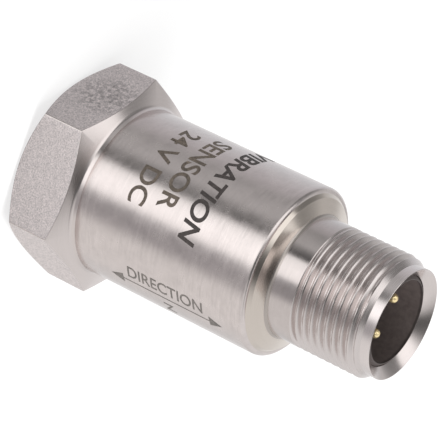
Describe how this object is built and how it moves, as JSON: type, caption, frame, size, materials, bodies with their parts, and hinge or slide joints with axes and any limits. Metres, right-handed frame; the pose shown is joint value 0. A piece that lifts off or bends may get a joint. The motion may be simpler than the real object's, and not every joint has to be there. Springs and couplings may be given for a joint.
{
  "type": "vibration sensor",
  "caption": "Industrial accelerometer: stainless hexagon foot with a tapped hole, round welded body with a coned shoulder, and a threaded top connector with pin contacts in a black insert.",
  "frame": {"origin": "centre of the mounting face under the hexagon", "axes": "+Z along the sensing axis from the mounting face to the connector's mouth, +X through a corner of the hexagon"},
  "size_m": [0.0288, 0.025, 0.0508],
  "materials": {
    "hex_steel": "blasted stainless",
    "sleeve_steel": "fine turned stainless",
    "connector_steel": "bright turned stainless",
    "insert_black": "black moulded insulator",
    "contact_gold": "gold plated",
    "ceramic": "white ceramic",
    "stack_steel": "machined steel",
    "film": "amber film",
    "piezo": "fired piezo ceramic with silvered faces",
    "electrode_brass": "thin brass foil",
    "mass_metal": "sintered heavy metal",
    "shield_brass": "drawn brass",
    "liner_plastic": "natural moulded plastic",
    "board": "green board",
    "component_black": "moulded parts",
    "lead_red": "insulated wire",
    "lead_green": "insulated wire",
    "lead_blue": "insulated wire"
  },
  "bodies": {
    "root": {"hex_base": "hex_steel", "housing_sleeve": "sleeve_steel", "connector_shell": "connector_steel", "connector_insert": "insert_black", "contact_pin_a": "contact_gold", "contact_pin_b": "contact_gold", "base_insulator": "ceramic", "stack_base": "stack_steel", "insulating_sleeve": "film", "piezo_ring_lower": "piezo", "electrode_ring": "electrode_brass", "piezo_ring_upper": "piezo", "seismic_mass": "mass_metal", "preload_washer": "stack_steel", "preload_nut": "stack_steel", "inner_shield": "shield_brass", "shield_insulator": "liner_plastic", "board_carrier": "liner_plastic", "circuit_board": "board", "board_components": "component_black", "signal_lead": "lead_red", "ground_lead": "lead_green", "pin_lead_a": "lead_red", "pin_lead_b": "lead_blue"}
  },
  "joints": []
}
